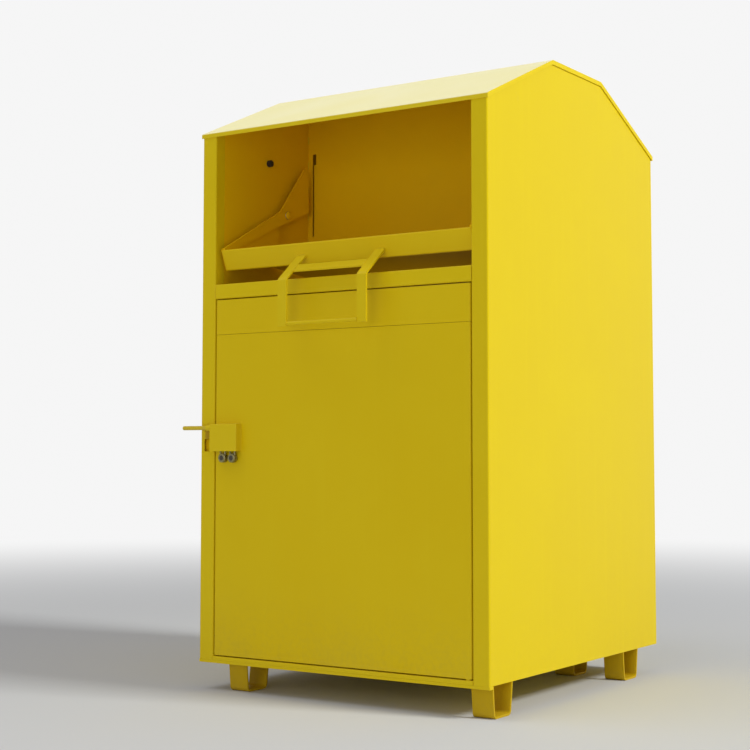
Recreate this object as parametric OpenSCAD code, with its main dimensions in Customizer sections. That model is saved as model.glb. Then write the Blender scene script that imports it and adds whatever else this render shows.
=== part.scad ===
// Street clothing donation bin: a folded sheet-steel cabinet on strap feet,
// with a tipping chute hopper, an outside pull handle and a padlocked door.
// Millimetres. Heights are measured from the underside of the cabinet, which
// stands leg_h above the ground. X runs from the lock side to the hinge side,
// Y from the front to the back.

/* [Cabinet] */
// Outside width of the cabinet
body_w = 1118; // [1040:2:1260]
// Outside depth of the cabinet
body_d = 1220; // [1120:5:1400]
// Height of the front and back walls
wall_h = 1778; // [1740:2:1900]
// Rise of the roof from the walls to the ridge
roof_rise = 191; // [120:5:260]
// Depth of each sloping face of the roof
roof_run = 429; // [360:2:470]
// Sheet thickness of walls, roof and trays
sheet = 3; // [2:0.5:4]
// Inside radius of the folds
fold_r = 2; // [1:0.5:4]
// Width of the front post on the lock side
post_l = 58; // [46:1:70]
// Width of the front post on the hinge side
post_r = 58; // [46:1:80]
// Depth of the folded return behind each post
post_return = 45; // [36:1:60]
// Width of the welding laps at the back
lap = 28; // [15:1:50]
// Clearance round fixed pins and plugs in their holes
fit = 0.3; // [0.2:0.05:0.6]
// Height of the floor's top face
floor_z = 13; // [11:1:30]

/* [Roof] */
// Sideways overhang of the roof
roof_over = 4; // [4:1:30]
// Drop of the turned-down hem along the sides
roof_hem = 12; // [8:1:25]
// Drop of the turned-down lip at front and back
roof_lip = 16; // [8:1:20]

/* [Chute] */
// Height of the header's lower face
header_z = 1206; // [1100:1:1225]
// Height of the header's folded section
header_h = 50; // [35:1:60]
// Depth of the header's flanges
header_d = 40; // [25:1:44]
// Distance from the front to the chute's back wall
baffle_y = 527; // [510:1:600]
// Height of the back wall's lower edge above the header
baffle_up = 81; // [70:1:100]
// Depth of the stiffening fold on the back wall's lower edge
baffle_fold = 22; // [12:1:40]
// Lower and upper end of the slots for the arms, above the header
slot_span = [224, 529]; // [150:1:560]
// Clearance of a slot on each side of its arm
slot_gap = 0.75; // [0.5:0.25:4]
// Width and height of a slot's wide upper end
slot_head = [16, 40]; // [12:1:60]
// Place of the rubber buffer on each cheek: distance from the front and drop below the wall's top
buffer_at = [289, 63]; // [40:1:450]
// Radius of a buffer's stem and of its head
buffer_r = [9, 12]; // [5:0.5:20]
// Clear space between a buffer and the passing hopper
buffer_gap = 2; // [1:0.5:4]

/* [Hopper] */
// Position of the hopper's pivot: distance from the front and height above the header
pivot_at = [368, 281]; // [240:1:400]
// Radius of the pivot stud
pivot_r = 8; // [6:0.5:12]
// Running clearance of the pivot and of the lock bar in their bores
run_gap = 0.05; // [0.02:0.01:0.1]
// Gap between the hopper and the left and right cheek
hopper_gap = [17, 5]; // [4:0.5:25]
// Front edge of the tray: distance from the front and height above the header
lip_at = [8, 119]; // [5:1:130]
// Length of the turned-down lip
lip_len = 74; // [60:1:82]
// Lean of the lip from the vertical
lip_lean = 22; // [15:0.5:45]
// Inward fold along the lip's lower edge
lip_hem = 14; // [8:1:20]
// Fall of the tray towards the back, in degrees
tray_fall = 5.8; // [2:0.1:6.5]
// Gap between the tray's rear edge and the chute's back wall
tray_gap = 20; // [6:1:40]
// Turned-down edge at the back of the tray
tray_hem = 18; // [10:1:30]
// Length of the side's lower edge behind the lip
side_foot = 46; // [40:1:80]
// Rise of the tray's side from the lip to the knee, in degrees
side_rise = 28.3; // [24:0.1:30]
// Distance of the knee in front of the pivot
knee_in = 41; // [28:1:48]
// Thickness of the arm plates
arm_t = 6; // [4:0.5:10]
// Rise of the arm from the knee to its tip, in degrees
arm_rise = 50.5; // [45:0.1:55]
// Distance from the pivot back to the arm's tip
arm_back = 120; // [90:1:125]
// Depth of the arm's strap below the knee
strap_h = 54; // [36:1:60]
// Rise of the strap's lower edge from the tray to the knee, in degrees
strap_lean = 24.4; // [20:0.1:28]
// Tipping angle of the hopper
tip_angle = 58; // [30:1:58]
// Radius of the rubber stops
stop_r = 12; // [8:1:16]
// Distance of the rubber stops from the front
stop_y = 115; // [80:1:200]
// Gap that is left above a stop at rest
rest_gap = 0.4; // [0.3:0.1:1]

/* [Handle] */
// Reach of the handle in front of the cabinet
handle_out = 82; // [60:1:110]
// Distance between the centres of the handle's two bars
handle_pitch = 310; // [200:2:500]
// Width of a handle bar
handle_w = 35; // [25:1:60]
// Thickness of a handle bar
handle_t = 6; // [4:0.5:10]
// Drop of the bars' lower ends and of their bend below the header's top
handle_drop = [162, 10]; // [5:1:165]
// Place where the bars meet the lip, as a share of the lip's length
handle_at = 0.59; // [0.3:0.01:0.7]
// Width of the flat crossbar
cross_w = 36; // [20:1:60]
// Distance from the bend to the crossbar's middle
cross_at = 64; // [40:1:80]
// Diameter of the grip rod
grip_d = 12; // [8:1:25]
// Distance of the grip rod above the lower ends
grip_up = 8; // [7:1:40]

/* [Door] */
// Gap round the door and the panel above it
door_gap = 4; // [3:0.5:6]
// Height of the fixed panel between the door and the header
transom_h = 122; // [120:1:300]
// Seam between the door and the panel above it
seam = 1; // [1:0.5:4]
// Distance of the door's face behind the posts' faces
door_set = 1; // [0:0.5:3]
// Depth of the door's pan
door_d = 25; // [22:1:30]
// Radius of the hinge pins
pin_r = 5; // [4:0.5:6]
// Position of the hinge axis: in from the post and back from the front
pin_in = [19, 10.5]; // [10:0.5:22]
// Length of a hinge pin in the door
pin_len = 19; // [14:1:30]
// Height of a hinge lug
lug_h = 14; // [10:1:25]
// Width of a hinge lug
lug_w = 27; // [24:1:40]
// Room for the lugs between the hinge pins and the inner stops
hinge_room = 41; // [38:1:60]
// Thickness of the thrust washer under the door
washer_t = 3.7; // [2:0.1:6]
// Radius of the thrust washer
washer_r = 9; // [8:0.5:10]
// Heights of the braces inside the door
brace_z = [250, 560, 870]; // [120:5:980]
// Width of a brace's crown
brace_w = 40; // [24:2:80]
// Sheet thickness of the braces
brace_t = 2.5; // [1.5:0.5:3]
// Run of a brace's slope and width of its foot
brace_foot = [6, 16]; // [4:1:30]
// Width of the strips that the door closes against
stop_w = 22; // [12:1:40]
// Overlap of those strips behind the door
stop_lap = 20; // [10:1:30]

/* [Lock] */
// Radius of the lock bar
bar_r = 7; // [6:0.5:12]
// Length of the lock bar
bar_len = 125; // [110:1:130]
// Height of the lock bar
bar_z = 771; // [500:1:900]
// Distance of the bar's middle in front of the posts
bar_out = 11; // [11:0.5:20]
// Reach of the drawn-back bar beyond the cabinet's side
bar_past = 70; // [40:1:85]
// Travel of the lock bar
bar_travel = 97; // [70:1:100]
// Wall thickness of the bar's guide
guide_wall = 3; // [2:0.5:6]
// Length of the bar's guide
guide_len = 20; // [16:1:40]
// Width and height of the lock hood
hood = [114, 91]; // [85:1:160]
// Depth of the hood in front of the door
hood_d = 26; // [26:1:45]
// Sheet thickness of the hood
hood_t = 2; // [1.5:0.5:4]
// Distance of each staple plate from the hood's open side
staple_x = [47, 88]; // [28:1:95]
// Thickness of a staple plate
staple_t = 5; // [3:0.5:8]
// Clearance of the lock bar in the staple plates
staple_gap = 1; // [0.5:0.1:2]
// Metal left round the bar's hole in a staple plate
staple_web = 2.5; // [2:0.5:6]
// Drop from the lock bar to the padlock hole
hole_drop = 53; // [40:1:60]
// Window in the post beside the lock: width and height
window = [28, 42]; // [10:1:60]
// Drop of the window below the bar's guide
window_drop = 27; // [10:1:60]

/* [Padlocks] */
// Radius of a padlock
padlock_r = 15; // [12:0.5:17]
// Thickness of a padlock
padlock_t = 16; // [12:0.5:18]
// Radius of the shackle's rod
shackle_r = 3.2; // [2.5:0.1:3.6]
// Half the distance between the shackle's legs
shackle_half = 9.5; // [9:0.1:10.5]
// Clearance of the shackle in the padlock hole
shackle_gap = 1; // [0.5:0.1:1.5]
// Clear space between the shackle hole and the padlock's top
shackle_drop = 32.5; // [28:0.5:36]
// Drop of the padlock when it is unlocked
padlock_travel = 8; // [4:1:10]
// Radius of the padlock's core
core_r = 5; // [3.5:0.5:5]

/* [Feet] */
// Height of the feet
leg_h = 100; // [60:5:160]
// Width of the foot straps
leg_w = 69; // [40:1:90]
// Depth of a foot
leg_d = 113; // [80:1:160]
// Thickness of the foot straps
leg_t = 7; // [4:0.5:10]
// Inside radius of a foot's bends
leg_r = 10; // [4:1:20]
// Inward lean of a foot at its sole
leg_lean = 4; // [0:1:12]
// Distance from the front to the front feet and to the rear feet
leg_y = [22, 933]; // [10:1:1000]
// Distance from the lock side to the feet on that side
leg_x = 118; // [60:1:200]
// Distance from the hinge side to the extra rear foot
leg_inner = 268; // [180:1:400]
// Width of the bearers under the floor
bearer_w = 80; // [60:2:100]
// Length of a bearer in front of and behind its feet
bearer_past = 30; // [10:1:60]

/* [Hidden] */
$fn = 48;

// Colours
sun_yellow = [0.90, 0.80, 0.13];
deep_yellow = [0.78, 0.66, 0.08];
zinc = [0.72, 0.73, 0.74];
black = [0.08, 0.08, 0.08];

// Planes that several pieces share
xl = post_l;
xr = body_w - post_r;
xm = (xl + xr) / 2;
back_in = body_d - sheet;
lap_in = back_in - sheet;
ridge_h = wall_h + roof_rise;
roof_slope = atan(roof_rise / roof_run);
header_top = header_z + header_h;
door_top = header_z - transom_h;
baffle_z = header_top + baffle_up;
slot_z = [header_top + slot_span[0], header_top + slot_span[1]];
pivot = [pivot_at[0], header_top + pivot_at[1]];
lip_top = [lip_at[0], header_top + lip_at[1]];
handle_z = [header_top - handle_drop[0], header_top - handle_drop[1]];
buffer_mid = [buffer_at[0], wall_h - buffer_at[1]];

// The whole stands with the middle of its footprint at the origin
shift_x = -(body_w + roof_over - bar_past) / 2;
shift_y = -(body_d + sheet - handle_out) / 2;

// ---- folded sheet: a path of outer corners with the sheet on its left ----
function unit(v) = v / norm(v);
function lnorm(v) = [-v[1], v[0]];
function dirs(p) = [for (i = [0 : len(p) - 2]) unit(p[i + 1] - p[i])];
function turn(a, b) = atan2(a[0] * b[1] - a[1] * b[0], a * b);
function spin(v, a) = [v[0] * cos(a) - v[1] * sin(a), v[0] * sin(a) + v[1] * cos(a)];
function rev(p) = [for (i = [len(p) - 1 : -1 : 0]) p[i]];
function shifted(p, t) = let(d = dirs(p), n = len(p)) [for (i = [0 : n - 1])
  i == 0 ? p[0] + t * lnorm(d[0]) :
  i == n - 1 ? p[i] + t * lnorm(d[n - 2]) :
  p[i] + t * (lnorm(d[i - 1]) + lnorm(d[i])) / (1 + lnorm(d[i - 1]) * lnorm(d[i]))];
function arc_at(p, u, v, r) = let(
    th = turn(u, v), s = th > 0 ? 1 : -1, m = max(2, ceil(abs(th) / 18)),
    c = p - u * r * tan(abs(th) / 2) + s * r * lnorm(u))
  abs(th) < 0.5 || r <= 0 ? [p] :
  [for (k = [0 : m]) c - s * r * spin(lnorm(u), th * k / m)];
function bent(p, rl, rr) = let(d = dirs(p), n = len(p)) [for (i = [0 : n - 1])
  each (i == 0 || i == n - 1) ? [p[i]] :
  arc_at(p[i], d[i - 1], d[i], turn(d[i - 1], d[i]) > 0 ? rl : rr)];
function outer_line(p, t, r) = bent(p, r + t, r);
function inner_line(p, t, r) = bent(shifted(p, t), r, r + t);
function folded(p, t, r) = concat(outer_line(p, t, r), rev(inner_line(p, t, r)));
// closed outline with a radius at each corner
function soft(p, r) = let(n = len(p)) [for (i = [0 : n - 1]) each
  arc_at(p[i], unit(p[i] - p[(i + n - 1) % n]), unit(p[(i + 1) % n] - p[i]), r[i])];

// ---- extrusions along the three axes ----
module placed() translate([shift_x, shift_y, leg_h]) children();
module along_x(a, b) translate([a, 0, 0]) rotate([90, 0, 90]) linear_extrude(b - a) children();
module along_z(a, b) translate([0, 0, a]) linear_extrude(b - a) children();
module block(a, b) translate(a) cube(b - a);
module rod_x(a, b, at, r) translate([a, at[0], at[1]]) rotate([0, 90, 0]) cylinder(h = b - a, r = r);
module rod_z(a, b, at, r) translate([at[0], at[1], a]) cylinder(h = b - a, r = r);
// mirror image across the middle of the chute
module other_side() translate([2 * xm, 0, 0]) mirror([1, 0, 0]) children();

// ---- roof line ----
roof_path = [
  [body_d + sheet, wall_h - roof_lip],
  [body_d + sheet, wall_h - sheet * tan(roof_slope)],
  [body_d - roof_run, ridge_h],
  [roof_run, ridge_h],
  [-sheet, wall_h - sheet * tan(roof_slope)],
  [-sheet, wall_h - roof_lip]];
roof_under = inner_line(roof_path, sheet, fold_r);
// everything below the roof sheet, seen from the side
room = concat(roof_under, [[0, 0], [body_d, 0]]);

module roof_panel() placed() color(sun_yellow) union() {
  along_x(-roof_over, body_w + roof_over) polygon(folded(roof_path, sheet, fold_r));
  for (x = [-roof_over, body_w + roof_over - sheet])
    along_x(x, x + sheet) polygon(concat(roof_under, rev([for (p = roof_under)
      [p[0], max(p[1] - roof_hem, wall_h - roof_lip)]])));
}

// ---- side panel with its front post, written for the lock side ----
module side_shell(pw) difference() {
  intersection() {
    linear_extrude(ridge_h) polygon(folded(
      [[lap, back_in], [0, back_in], [0, 0], [pw, 0], [pw, post_return]], sheet, fold_r));
    along_x(-1, pw + 1) polygon(room);
  }
  // the return ends on the floor
  block([pw - sheet - fold_r, sheet, -1], [pw + 1, post_return + 1, floor_z]);
}
module side_panel_left() placed() color(sun_yellow) difference() {
  side_shell(post_l);
  block([window_x, -1, window_z], [window_x + window[0], sheet + 1, window_z + window[1]]);
}
module side_panel_right() placed() color(sun_yellow)
  translate([body_w, 0, 0]) mirror([1, 0, 0]) side_shell(post_r);
window_x = (post_l - window[0]) / 2;
window_z = bar_z - bar_r - guide_wall - window_drop - window[1];

module back_panel() placed() color(sun_yellow) intersection() {
  block([sheet, back_in, 0], [body_w - sheet, body_d, wall_h + roof_rise]);
  along_x(0, body_w) polygon(room);
}

module floor_pan() placed() color(deep_yellow) union() {
  along_x(xl, xr) polygon(folded(
    [[lap_in, 0], [lap_in, floor_z], [0, floor_z], [0, 0]], sheet, fold_r));
  for (x = [[sheet, xl], [xr, body_w - sheet]])
    block([x[0], sheet + fold_r, floor_z - sheet], [x[1], lap_in - fold_r, floor_z]);
}

inner_x = body_w - leg_inner;
bearer_in = (bearer_w - leg_w) / 2;
module bearer(x, y) block([x, y, 0], [x + bearer_w, leg_y[1] + leg_d + bearer_past, floor_z - sheet]);
module bearer_left() placed() color(deep_yellow) bearer(leg_x - bearer_in, leg_y[0] - leg_t);
module bearer_right() placed() color(deep_yellow) bearer(body_w - sheet - bearer_w, leg_y[0] - leg_t);
module bearer_inner() placed() color(deep_yellow) bearer(inner_x - bearer_in, leg_y[1] - bearer_past);

// ---- chute ----
header_path = [[header_d, header_top], [0, header_top], [0, header_z], [header_d, header_z]];
module header_channel() placed() color(deep_yellow)
  along_x(xl, xr) polygon(folded(header_path, sheet, fold_r));

module cheek() difference() {
  intersection() {
    block([xl - sheet, post_return, header_z], [xl, baffle_y + sheet, ridge_h]);
    along_x(0, xl) polygon(room);
  }
  rod_x(xl - sheet - 1, xl + 1, pivot, pivot_r + fit);
  rod_x(xl - sheet - 1, xl + 1, buffer_mid, buffer_r[0]);
}
module cheek_left() placed() color(deep_yellow) cheek();
module cheek_right() placed() color(deep_yellow) other_side() cheek();

baffle_path = [[baffle_y + baffle_fold, baffle_z], [baffle_y, baffle_z], [baffle_y, ridge_h - sheet]];
function arm_x(g) = xl + g + sheet;
arm_xs = [arm_x(hopper_gap[0]), 2 * xm - arm_x(hopper_gap[1])];
module chute_baffle() placed() color(deep_yellow) difference() {
  along_x(xl, xr) polygon(rev(concat(
    bent(shifted(baffle_path, -sheet), fold_r, fold_r + sheet),
    rev(bent(baffle_path, fold_r + sheet, fold_r + sheet)))));
  for (s = [0, 1]) {
    x = s == 0 ? arm_xs[0] - slot_gap : arm_xs[1] + slot_gap;
    way = s == 0 ? 1 : -1;
    for (cut = [[arm_t + 2 * slot_gap, slot_z[0]], [slot_head[0], slot_z[1] - slot_head[1]]])
      block([min(x, x + way * cut[0]), baffle_y - 1, cut[1]],
            [max(x, x + way * cut[0]), baffle_y + sheet + 1, slot_z[1]]);
  }
}

// rubber buffer that keeps the hopper in the middle; its head fills the gap but for buffer_gap
module buffer(g) {
  out = g - buffer_gap;
  soft_edge = min(2, out / 2);
  translate([xl, buffer_mid[0], buffer_mid[1]]) rotate([0, 90, 0]) rotate_extrude() polygon([
    [0, out], [buffer_r[1] - soft_edge, out], [buffer_r[1], out - soft_edge], [buffer_r[1], 0],
    [buffer_r[0] - fit, 0], [buffer_r[0] - fit, -sheet - 2.5], [0, -sheet - 2.5]]);
}
module cheek_plug_left() placed() color(black) buffer(hopper_gap[0]);
module cheek_plug_right() placed() color(black) other_side() buffer(hopper_gap[1]);

// stop under the tray and the stud that the hopper turns on
stop_z = tray_at(stop_y) - (sheet + stop_r + rest_gap) / cos(tray_fall);
module hopper_stop(g) rod_x(xl, arm_x(g) + arm_t + stop_r, [stop_y, stop_z], stop_r);
module hopper_stop_left() placed() color(black) hopper_stop(hopper_gap[0]);
module hopper_stop_right() placed() color(black) other_side() hopper_stop(hopper_gap[1]);

// its collar on the cheek stays inside the hopper's gap
module stud(g) {
  end = arm_x(g) + arm_t + 0.6;
  translate([0, pivot[0], pivot[1]]) rotate([0, 90, 0]) rotate_extrude() polygon([
    [0, xl - sheet - 3], [pivot_r + 6, xl - sheet - 3], [pivot_r + 6, xl - sheet], [pivot_r, xl - sheet],
    [pivot_r, xl], [pivot_r + 5, xl], [pivot_r + 5, xl + 1.5], [pivot_r, xl + 1.5], [pivot_r, end],
    [pivot_r + 6, end], [pivot_r + 6, end + 4], [pivot_r + 2, end + 9], [0, end + 10]]);
}
module pivot_stud_left() placed() color(zinc) stud(hopper_gap[0]);
module pivot_stud_right() placed() color(zinc) other_side() stud(hopper_gap[1]);

// ---- hopper: tray with lip, sides, arms; all in the open position ----
function tray_at(y) = lip_top[1] - (y - lip_top[0]) * tan(tray_fall);
lip_dir = [sin(lip_lean), -cos(lip_lean)];
lip_end = lip_top + lip_len * lip_dir;
tray_back = baffle_y - tray_gap;
tray_path = [[tray_back, tray_at(tray_back) - tray_hem], [tray_back, tray_at(tray_back)],
  lip_top, lip_end, lip_end + [lip_hem, 0]];
module hopper_tray() placed() color(deep_yellow)
  along_x(arm_xs[0], arm_xs[1]) polygon(folded(tray_path, sheet, fold_r));

knee = [pivot[0] - knee_in, lip_top[1] + (pivot[0] - knee_in - lip_top[0]) * tan(side_rise)];
knee_low = [knee[0] - 4, knee[1] - strap_h];
function under_tray(y) = tray_at(y) - sheet / cos(tray_fall);
side_outline = [lip_top, lip_end, lip_end + [lip_hem, 0], [lip_end[0] + side_foot, under_tray(lip_end[0] + side_foot)],
  [knee_low[0], under_tray(knee_low[0])], [knee_low[0], knee[1] - 4 * tan(side_rise)]];
module hopper_side(g) along_x(xl + g, xl + g + sheet)
  polygon(soft(side_outline, [fold_r + sheet, 3, 3, 12, 0, 0]));
module hopper_side_left() placed() color(deep_yellow) hopper_side(hopper_gap[0]);
module hopper_side_right() placed() color(deep_yellow) other_side() hopper_side(hopper_gap[1]);

arm_tip = [pivot[0] + arm_back, knee[1] + (pivot[0] + arm_back - knee[0]) * tan(arm_rise)];
arm_heel = [arm_tip[0] + 7, pivot[1] + 28];
// lower edge of the strap runs into the tray's floor
strap_y = (tray_at(0) - knee_low[1] + knee_low[0] * tan(strap_lean)) / (tan(strap_lean) + tan(tray_fall));
arm_outline = [[lip_top[0] + 8, tray_at(lip_top[0] + 8)], [strap_y, tray_at(strap_y)], knee_low, arm_heel,
  arm_tip, knee, [lip_top[0] + 8, lip_top[1] + 8 * tan(side_rise)]];
module hopper_arm(g) difference() {
  along_x(arm_x(g), arm_x(g) + arm_t) polygon(soft(arm_outline, [0, 0, 20, 14, 12, 30, 0]));
  rod_x(arm_x(g) - 2, arm_x(g) + arm_t + 1, pivot, pivot_r + run_gap);
}
module hopper_arm_left() placed() color(deep_yellow) hopper_arm(hopper_gap[0]);
module hopper_arm_right() placed() color(deep_yellow) other_side() hopper_arm(hopper_gap[1]);

module hopper_bush(g) difference() {
  rod_x(xl + 2, arm_x(g), pivot, pivot_r + 7);
  rod_x(xl + 1, arm_x(g) + 1, pivot, pivot_r + run_gap);
}
module hopper_bush_left() placed() color(zinc) hopper_bush(hopper_gap[0]);
module hopper_bush_right() placed() color(zinc) other_side() hopper_bush(hopper_gap[1]);

// ---- handle ----
bend = [-handle_out, handle_z[1]];
handle_root = lip_top + handle_at * lip_len * lip_dir;
slant = unit(handle_root - bend);
// everything in front of the lip's plane
ahead = wall_h * spin(lip_dir, -90);
before_lip = [lip_top - wall_h * lip_dir, lip_top + wall_h * lip_dir,
  lip_top + wall_h * lip_dir + ahead, lip_top - wall_h * lip_dir + ahead];
module handle_bar(x) along_x(x - handle_w / 2, x + handle_w / 2) intersection() {
  polygon(folded([handle_root + 30 * slant, bend, [-handle_out, handle_z[0]]], handle_t, 8));
  polygon(before_lip);
}
module handle_bar_left() placed() color(deep_yellow) handle_bar(xm - handle_pitch / 2);
module handle_bar_right() placed() color(deep_yellow) handle_bar(xm + handle_pitch / 2);
grip_x = [xm - handle_pitch / 2 + handle_w / 2, xm + handle_pitch / 2 - handle_w / 2];
module handle_crossbar() placed() color(deep_yellow) along_x(grip_x[0], grip_x[1]) polygon(folded(
  [bend + (cross_at + cross_w / 2) * slant, bend + (cross_at - cross_w / 2) * slant], handle_t, 8));
module handle_grip() placed() color(deep_yellow)
  rod_x(grip_x[0], grip_x[1], [-handle_out + handle_t / 2, handle_z[0] + grip_up], grip_d / 2);

// ---- panel above the door ----
dx = [xl + door_gap, xr - door_gap];
pan_back = door_set + door_d;
strip_y = pan_back + 1;
pin_at = [xr - pin_in[0], pin_in[1]];
tz = [door_top + seam, header_z - door_gap];
module pan(z, d) {
  along_z(z[0], z[1]) polygon(folded(
    [[dx[0], d], [dx[0], door_set], [dx[1], door_set], [dx[1], d]], sheet, fold_r));
  for (f = [z[0], z[1] - sheet])
    block([dx[0] + sheet, door_set + sheet, f], [dx[1] - sheet, d, f + sheet]);
}
module transom_panel() placed() color(deep_yellow) difference() {
  pan(tz, strip_y);
  rod_z(tz[0] - 1, tz[0] + sheet + 1, pin_at, pin_r + fit);
}
module transom_cleat() placed() color(deep_yellow)
  block([xr - stop_w - sheet, strip_y, door_top + stop_lap / 2], [xr, strip_y + sheet, header_z]);

module door_stop_side() placed() color(deep_yellow)
  block([xl, strip_y, floor_z], [xl + stop_w, strip_y + sheet, header_z]);
stop_x = [xl + stop_w, pin_at[0] - hinge_room];
module door_stop_top() placed() color(deep_yellow)
  block([stop_x[0], strip_y, door_top - stop_lap], [stop_x[1], strip_y + sheet, door_top + seam + stop_lap]);
module door_stop_low() placed() color(deep_yellow) along_x(stop_x[0], stop_x[1]) polygon(folded(
  [[strip_y, floor_z + stop_w], [strip_y, floor_z], [strip_y + stop_w, floor_z]], sheet, fold_r));

// ---- hinge pins ----
door_low = floor_z + door_gap;
module door_pin_low() placed() color(zinc) rod_z(floor_z, door_low + pin_len - 3, pin_at, pin_r);
module door_pin_top() placed() color(zinc) union() {
  rod_z(door_top - pin_len + 3, tz[0] + sheet, pin_at, pin_r);
  rod_z(tz[0] + sheet, tz[0] + sheet + 4, pin_at, pin_r + 1.4);
}
module door_washer() placed() color(zinc) difference() {
  rod_z(floor_z, floor_z + washer_t, pin_at, washer_r);
  rod_z(floor_z - 1, floor_z + washer_t + 1, pin_at, pin_r + fit);
}

// ---- door ----
module door_skin() placed() color(deep_yellow) difference() {
  pan([door_low, door_top], pan_back);
  rod_z(door_low - 1, door_low + sheet + 1, pin_at, pin_r + run_gap);
  rod_z(door_top - sheet - 1, door_top + 1, pin_at, pin_r + run_gap);
}
door_in = door_set + sheet;
crown_y = pan_back - brace_t - 1.5;
lug_x = [dx[1] - sheet - fold_r - lug_w, dx[1] - sheet - fold_r];
module brace(z) {
  half = brace_w / 2;
  foot = half + brace_foot[0];
  end = foot + brace_foot[1];
  along_x(dx[0] + sheet + fold_r, lug_x[0] - door_gap) polygon(folded(
    [[door_in, z + end], [door_in, z + foot], [crown_y, z + half],
     [crown_y, z - half], [door_in, z - foot], [door_in, z - end]], brace_t, fold_r));
}
module door_brace_low() placed() color(deep_yellow) brace(brace_z[0]);
module door_brace_mid() placed() color(deep_yellow) brace(brace_z[1]);
module door_brace_top() placed() color(deep_yellow) brace(brace_z[2]);
module lug(z) difference() {
  block([lug_x[0], door_in, z], [lug_x[1], pan_back, z + lug_h]);
  rod_z(z - 1, z + lug_h + 1, pin_at, pin_r + run_gap);
}
module door_lug_top() placed() color(deep_yellow) lug(door_top - sheet - lug_h);
module door_lug_low() placed() color(deep_yellow) lug(door_low + sheet);

// ---- lock hood, staples, sliding bar and its guide ----
hood_front = door_set - hood_d;
staple_top = bar_z + bar_r + staple_gap + staple_web;
hood_top = staple_top + fit + hood_t;
module lock_hood() placed() color(sun_yellow) union() {
  along_x(xl, xl + hood[0]) polygon(folded([[door_set, hood_top], [hood_front, hood_top],
    [hood_front, hood_top - hood[1]]], hood_t, 1.5));
  block([xl + hood[0] - hood_t, hood_front + hood_t, hood_top - hood[1]],
        [xl + hood[0], door_set, hood_top - hood_t]);
}
staple_front = hood_front + hood_t + 1;
hang = [-bar_out, bar_z - hole_drop];
bar_at = [-bar_out, bar_z];
module staple(x) difference() {
  along_x(x - staple_t / 2, x + staple_t / 2) polygon(soft(
    [[door_set, hang[1] - 12], [staple_front, hang[1] - 12], [staple_front, staple_top],
     [door_set, staple_top]], [0, 8, 3, 0]));
  rod_x(x - staple_t, x + staple_t, bar_at, bar_r + staple_gap);
  rod_x(x - staple_t, x + staple_t, hang, shackle_r + shackle_gap);
}
module staple_left() placed() color(zinc) staple(xl + staple_x[0]);
module staple_right() placed() color(zinc) staple(xl + staple_x[1]);

module bar_guide() placed() color(deep_yellow) difference() {
  union() {
    rod_x(guide_x, guide_x + guide_len, bar_at, bar_r + guide_wall);
    block([guide_x, -bar_out + bar_r * 0.6, bar_z - bar_r], [guide_x + guide_len, 0, bar_z + bar_r]);
  }
  rod_x(guide_x - 1, guide_x + guide_len + 1, bar_at, bar_r + run_gap);
}
guide_x = post_l - guide_len - 2;
module lock_bar() placed() color(zinc) translate([-bar_past, bar_at[0], bar_at[1]])
  rotate([0, 90, 0]) rotate_extrude() polygon(concat(
    [for (a = [0 : 15 : 90]) [bar_r * sin(a), bar_r * 0.6 * (1 - cos(a))]],
    [[bar_r, bar_len - 1.5], [bar_r - 1.5, bar_len], [0, bar_len]]));

// ---- padlocks ----
ring_z = hang[1] - shackle_half;
lock_z = hang[1] - shackle_drop - padlock_r;
shackle_end = lock_z - 5;
module shackle(x) translate([x, hang[0], 0]) union() {
  translate([0, 0, ring_z]) rotate([90, 0, 0]) rotate_extrude(angle = 180)
    translate([shackle_half, 0]) circle(r = shackle_r, $fn = 32);
  for (s = [-1, 1]) rod_z(shackle_end, ring_z, [s * shackle_half, 0], shackle_r);
}
module padlock_case(x) translate([x, hang[0], lock_z]) difference() {
  rotate([90, 0, 0]) rotate_extrude() polygon([[0, -padlock_t / 2], [padlock_r - 1.5, -padlock_t / 2],
    [padlock_r, 1.5 - padlock_t / 2], [padlock_r, padlock_t / 2 - 1.5], [padlock_r - 1.5, padlock_t / 2],
    [0, padlock_t / 2]]);
  for (s = [-1, 1]) rod_z(-8, padlock_r + 1, [s * shackle_half, 0], shackle_r + run_gap);
  rotate([90, 0, 0]) cylinder(h = padlock_t, r = core_r + fit);
}
module padlock_core(x) translate([x, hang[0], lock_z]) difference() {
  rotate([90, 0, 0]) cylinder(h = padlock_t / 2 + 0.6, r = core_r);
  block([-0.6, -padlock_t, -3], [0.6, -padlock_t / 2 + 2, 3]);
}
lock_x = [xl + staple_x[0], xl + staple_x[1]];
module padlock_left_shackle() placed() color(zinc) shackle(lock_x[0]);
module padlock_left_body() placed() color(zinc) padlock_case(lock_x[0]);
module padlock_left_core() placed() color(black) padlock_core(lock_x[0]);
module padlock_right_shackle() placed() color(zinc) shackle(lock_x[1]);
module padlock_right_body() placed() color(zinc) padlock_case(lock_x[1]);
module padlock_right_core() placed() color(black) padlock_core(lock_x[1]);

// ---- feet: U-shaped straps, open to the sides ----
module leg(x, y) along_x(x, x + leg_w) intersection() {
  polygon(folded([[y - leg_lean / 10, leg_h / 10], [y + leg_lean, -leg_h],
    [y + leg_d - leg_lean, -leg_h], [y + leg_d + leg_lean / 10, leg_h / 10]], leg_t, leg_r));
  translate([y - leg_d, -2 * leg_h]) square([3 * leg_d, 2 * leg_h]);
}
module leg_front_left() placed() color(deep_yellow) leg(leg_x, leg_y[0]);
module leg_front_right() placed() color(deep_yellow) leg(body_w - sheet - leg_w, leg_y[0]);
module leg_rear_left() placed() color(deep_yellow) leg(leg_x, leg_y[1]);
module leg_rear_right() placed() color(deep_yellow) leg(body_w - sheet - leg_w, leg_y[1]);
module leg_rear_inner() placed() color(deep_yellow) leg(inner_x, leg_y[1]);

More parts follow.
